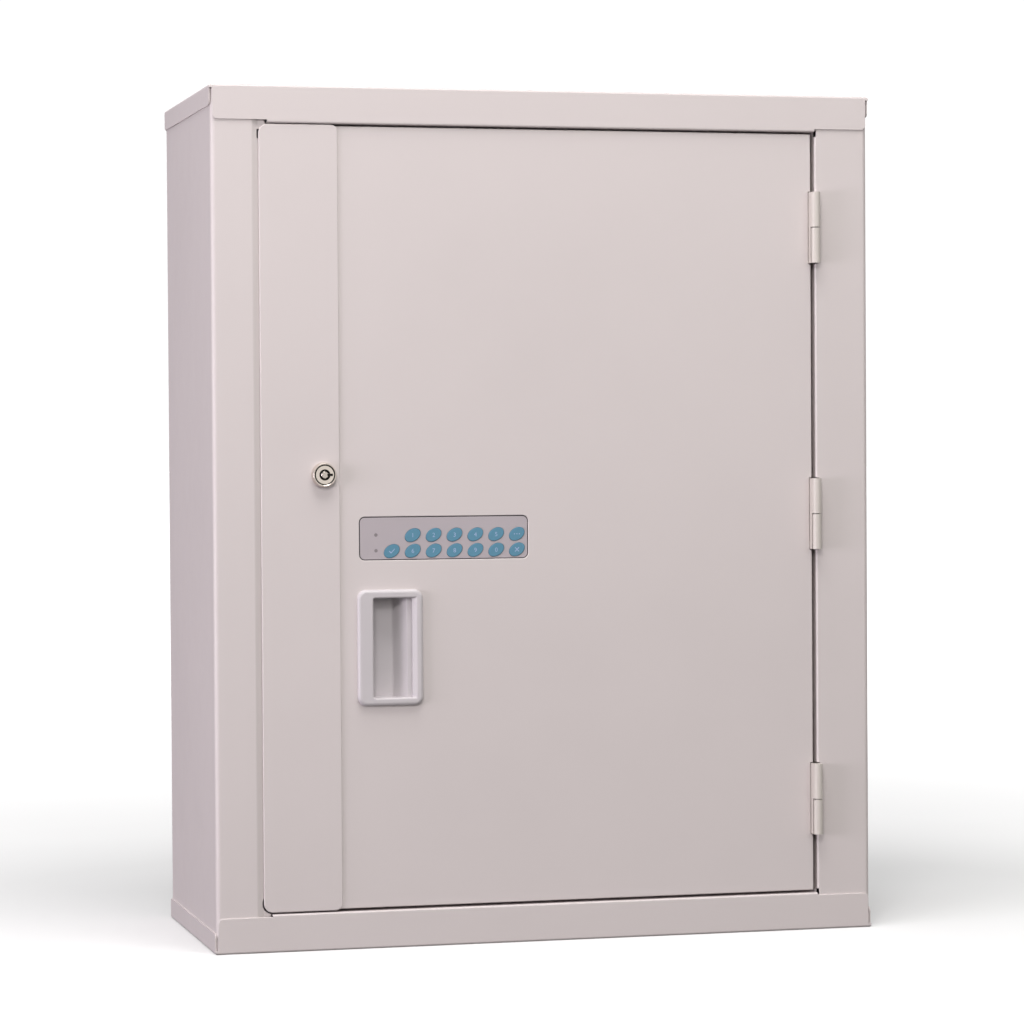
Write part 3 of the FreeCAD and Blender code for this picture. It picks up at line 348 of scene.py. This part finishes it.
def glyph_mesh(text, height):
    cu = bpy.data.curves.new("glyph", "FONT")
    cu.body = text
    cu.size = height / 0.70
    cu.align_x = "CENTER"
    cu.resolution_u = 6
    cu.extrude = 0.02
    o = bpy.data.objects.new("glyph", cu)
    bpy.context.scene.collection.objects.link(o)
    bpy.context.view_layer.update()
    me = bpy.data.meshes.new_from_object(o.evaluated_get(bpy.context.evaluated_depsgraph_get()))
    v = [tuple(p.co) for p in me.vertices]
    f = [tuple(p.vertices) for p in me.polygons]
    bpy.data.objects.remove(o)
    bpy.data.curves.remove(cu)
    bpy.data.meshes.remove(me)
    xs = [p[0] for p in v]
    ys = [p[1] for p in v]
    cx, cy = (min(xs) + max(xs)) / 2, (min(ys) + max(ys)) / 2
    return [(p[0] - cx, p[1] - cy, p[2]) for p in v], f


PRINT = moulded("key_print_pale", (0.36, 0.45, 0.66), 0.5, 3000.0, 0.1, 0.35, 0.03)
KEY_FACE = 2.65
KEY_X_LAST, KEY_PITCH = 271.3, 18.8
ROW = (360.1, 346.4)
TOP_KEYS = ("1", "2", "3", "4", "5", "program")
LOW_KEYS = ("enter", "6", "7", "8", "9", "0", "clear")
centres = [(n, KEY_X_LAST - KEY_PITCH * (5 - i), ROW[0]) for i, n in enumerate(TOP_KEYS)]
centres += [(n, KEY_X_LAST - KEY_PITCH * (6 - i), ROW[1]) for i, n in enumerate(LOW_KEYS)]
icons = {
    "enter": [[(-2.2, -0.1), (-0.7, -1.6), (2.3, 1.7)]],
    "clear": [[(-1.6, -1.6), (1.6, 1.6)], [(-1.6, 1.6), (1.6, -1.6)]],
    "program": [[(-2.3, 0.0), (-2.2, 0.0)], [(-0.05, 0.0), (0.05, 0.0)], [(2.2, 0.0), (2.3, 0.0)]],
}
for name, cx, cz in centres:
    verts, faces = [], []
    if name in icons:
        for i, line in enumerate(icons[name]):
            w = 0.95 if name == "program" else 0.72
            v, f = prism(stroke(line, w), KEY_FACE - 0.045, KEY_FACE - 0.002 + 0.001 * i, cx, cz)
            k = len(verts)
            verts += v
            faces += [tuple(j + k for j in q) for q in f]
    else:
        v, faces = glyph_mesh(name, 3.7)
        verts = [at(cx + p[0], KEY_FACE - 0.022 - p[2], cz + p[1]) for p in v]
    piece("key_symbol_" + name, verts, faces, PRINT, "key_%s_cap" % name, smooth=False)


def ring(name, outline_fn, n, y0, y1, mat, body):
    """Flat ring between two outlines: outline_fn(inset, i) -> (x, z)."""
    v = []
    for y in (y0, y1):
        for k in (0, 1):
            v += [at(*((lambda p: (p[0], y, p[1]))(outline_fn(k, i)))) for i in range(n)]
    f = []
    for i in range(n):
        j = (i + 1) % n
        o0, i0, o1, i1 = 0, n, 2 * n, 3 * n
        f += [(o0 + i, o0 + j, i0 + j, i0 + i), (o1 + i, i1 + i, i1 + j, o1 + j),
              (o0 + i, o1 + i, o1 + j, o0 + j), (i0 + i, i0 + j, i1 + j, i1 + i)]
    return piece(name, v, f, mat, body)


def rounded(x0, x1, z0, z1, r, per=8):
    out = []
    for cx, cz, a0 in ((x1 - r, z1 - r, 0), (x0 + r, z1 - r, 90), (x0 + r, z0 + r, 180), (x1 - r, z0 + r, 270)):
        for j in range(per + 1):
            a = math.radians(a0 + 90.0 * j / per)
            out.append((cx + r * math.cos(a), cz + r * math.sin(a)))
    return out


# painted shade: a dark rubber ring set into the gap round the keypad fascia so its outline reads dark
outer = rounded(129.53, 281.47, 338.53, 376.47, 4.97)
inner = rounded(130.17, 280.83, 339.17, 375.83, 4.33)
ring("keypad_gap_shade_ring", lambda k, i: (outer, inner)[k][i], len(outer), 3.75, 4.18, M["rubber"], "door")

# Driver pins at the bottom of the key lock's round keyway, near-black steel as painted shade of the keyway.
LX, LZ, LF = 98.1, 413.4, -4.9
pv, pf = [], []
for i in range(7):
    a = math.radians(-35 - 360.0 * i / 7.0)
    c = (3.95 * math.cos(a), 3.95 * math.sin(a))
    seg = 10
    base = len(pv)
    for r, y in ((0.50, LF + 7.45), (0.50, LF + 3.2), (0.36, LF + 2.9)):
        pv += [at(LX + c[0] + r * math.cos(2 * math.pi * s / seg), y, LZ + c[1] + r * math.sin(2 * math.pi * s / seg)) for s in range(seg)]
    for lvl in range(2):
        for s in range(seg):
            t = (s + 1) % seg
            b0, b1 = base + lvl * seg, base + (lvl + 1) * seg
            pf.append((b0 + s, b0 + t, b1 + t, b1 + s))
    pf.append(tuple(base + 2 * seg + s for s in range(seg)))
    pf.append(tuple(base + s for s in reversed(range(seg))))
piece("lock_driver_pins", pv, pf, M["lock_pin"], "lock_cylinder")

# ----------------------------------- stage -----------------------------------
floor_mat = Mat("studio_floor")
floor_mat.set(spec=0.2)
floor_mat.color(floor_mat.ramp(floor_mat.noise(1.5, 2.0), [(0.3, (0.73, 0.73, 0.73)), (0.7, (0.76, 0.76, 0.76))]))
floor_mat.rough(floor_mat.value(floor_mat.noise(9.0, 2.0), 0.7, 0.8))
# a lit sweep: the floor glows a little, more so away from the object
away = floor_mat.t.nodes.new("ShaderNodeVectorMath")
away.operation = "LENGTH"
floor_mat.link(floor_mat.co, away.inputs[0])
floor_mat.b.inputs["Emission Color"].default_value = (1, 1, 1, 1)
floor_mat.link(floor_mat.value(away.outputs["Value"], 0.10, 0.75, 0.6, 2.4), floor_mat.b.inputs["Emission Strength"])
me = bpy.data.meshes.new("studio_floor")
me.from_pydata([(-30, -30, 0), (30, -30, 0), (30, 60, 0), (-30, 60, 0)], [], [(0, 1, 2, 3)])
me.materials.append(floor_mat.m)
floor = bpy.data.objects.new("studio_floor", me)
bpy.context.scene.collection.objects.link(floor)
# the sweep lights nothing itself, as if it stood well away from the object
floor.visible_diffuse = False
floor.visible_glossy = False

# Plain surroundings: white behind the object, and for the light a pale sky
# that darkens towards the horizon, so that bright metal has something to show.
world = bpy.data.worlds.new("studio")
bpy.context.scene.world = world
world.use_nodes = True
wt = world.node_tree
bg = wt.nodes["Background"]
wtc = wt.nodes.new("ShaderNodeTexCoord")
sep = wt.nodes.new("ShaderNodeSeparateXYZ")
wt.links.new(wtc.outputs["Generated"], sep.inputs["Vector"])
sky = wt.nodes.new("ShaderNodeValToRGB")
e = sky.color_ramp.elements
e[0].position, e[0].color = 0.0, (0.13, 0.128, 0.126, 1)
e[1].position, e[1].color = 0.85, (0.60, 0.60, 0.60, 1)
e.new(0.45).color = (0.17, 0.168, 0.166, 1)
e.new(0.60).color = (0.36, 0.358, 0.356, 1)
half = wt.nodes.new("ShaderNodeMapRange")
half.inputs["From Min"].default_value = -1.0
half.inputs["From Max"].default_value = 1.0
wt.links.new(sep.outputs["Z"], half.inputs["Value"])
wt.links.new(half.outputs["Result"], sky.inputs["Fac"])
wt.links.new(sky.outputs["Color"], bg.inputs["Color"])
bg.inputs["Strength"].default_value = 1.0
white = wt.nodes.new("ShaderNodeBackground")
white.inputs["Color"].default_value = (1, 1, 1, 1)
white.inputs["Strength"].default_value = 1.05
lp = wt.nodes.new("ShaderNodeLightPath")
mixer = wt.nodes.new("ShaderNodeMixShader")
wt.links.new(lp.outputs["Is Camera Ray"], mixer.inputs[0])
wt.links.new(bg.outputs["Background"], mixer.inputs[1])
wt.links.new(white.outputs["Background"], mixer.inputs[2])
wt.links.new(mixer.outputs["Shader"], wt.nodes["World Output"].inputs["Surface"])


def area(name, loc, target, size, energy, color=(1, 1, 1)):
    la = bpy.data.lights.new(name, "AREA")
    la.shape = "RECTANGLE"
    la.size, la.size_y = size
    la.energy = energy
    la.color = color
    o = bpy.data.objects.new(name, la)
    o.location = loc
    o.rotation_euler = (Vector(target) - Vector(loc)).to_track_quat("-Z", "Y").to_euler()
    bpy.context.scene.collection.objects.link(o)
    return o


area("overhead_softbox", (-0.2, -0.9, 2.7), (-0.05, -0.2, 0.0), (1.5, 1.1), 46.0, (1.0, 0.992, 0.98))
area("key_softbox", (-0.85, -2.3, 1.60), (0.0, 0.0, 0.45), (0.5, 0.5), 17.0, (1.0, 0.985, 0.97))
area("right_softbox", (1.55, -2.45, 1.0), (0.05, 0.0, 0.40), (0.5, 0.6), 7.5, (1.0, 0.99, 0.97))
area("reflector_card", (0.45, -3.1, 0.64), (-0.15, 0.0, 0.46), (1.6, 1.6), 5.5, (1.0, 0.97, 0.93))
area("side_softbox", (-2.9, -0.85, 0.34), (-0.25, 0.0, 0.36), (1.2, 1.0), 57.0, (0.96, 0.90, 1.0))

# ----------------------------------- camera ----------------------------------
yaw, pit, rol = 0.25261512, -0.01918536, -0.00630330
fwd = Vector((math.sin(yaw), math.cos(yaw), 0))
right = Vector((math.cos(yaw), -math.sin(yaw), 0))
up = Vector((0, 0, 1))
fwd2 = fwd * math.cos(pit) + up * math.sin(pit)
up2 = up * math.cos(pit) - fwd * math.sin(pit)
r3 = right * math.cos(rol) + up2 * math.sin(rol)
u3 = up2 * math.cos(rol) - right * math.sin(rol)
cam = bpy.data.cameras.new("camera")
cam.sensor_width = 36.0
cam.lens = 36.0 * 3433.3758 / 1024.0
cam.clip_end = 200.0
cam_o = bpy.data.objects.new("camera", cam)
rot = Matrix((r3, u3, -fwd2)).transposed()
cam_o.matrix_world = Matrix.Translation(at(-488.1446, -2922.5623, 437.3232)) @ rot.to_4x4()
bpy.context.scene.collection.objects.link(cam_o)
bpy.context.scene.camera = cam_o

bpy.context.scene.view_settings.view_transform = "Standard"
bpy.context.scene.view_settings.look = "None"
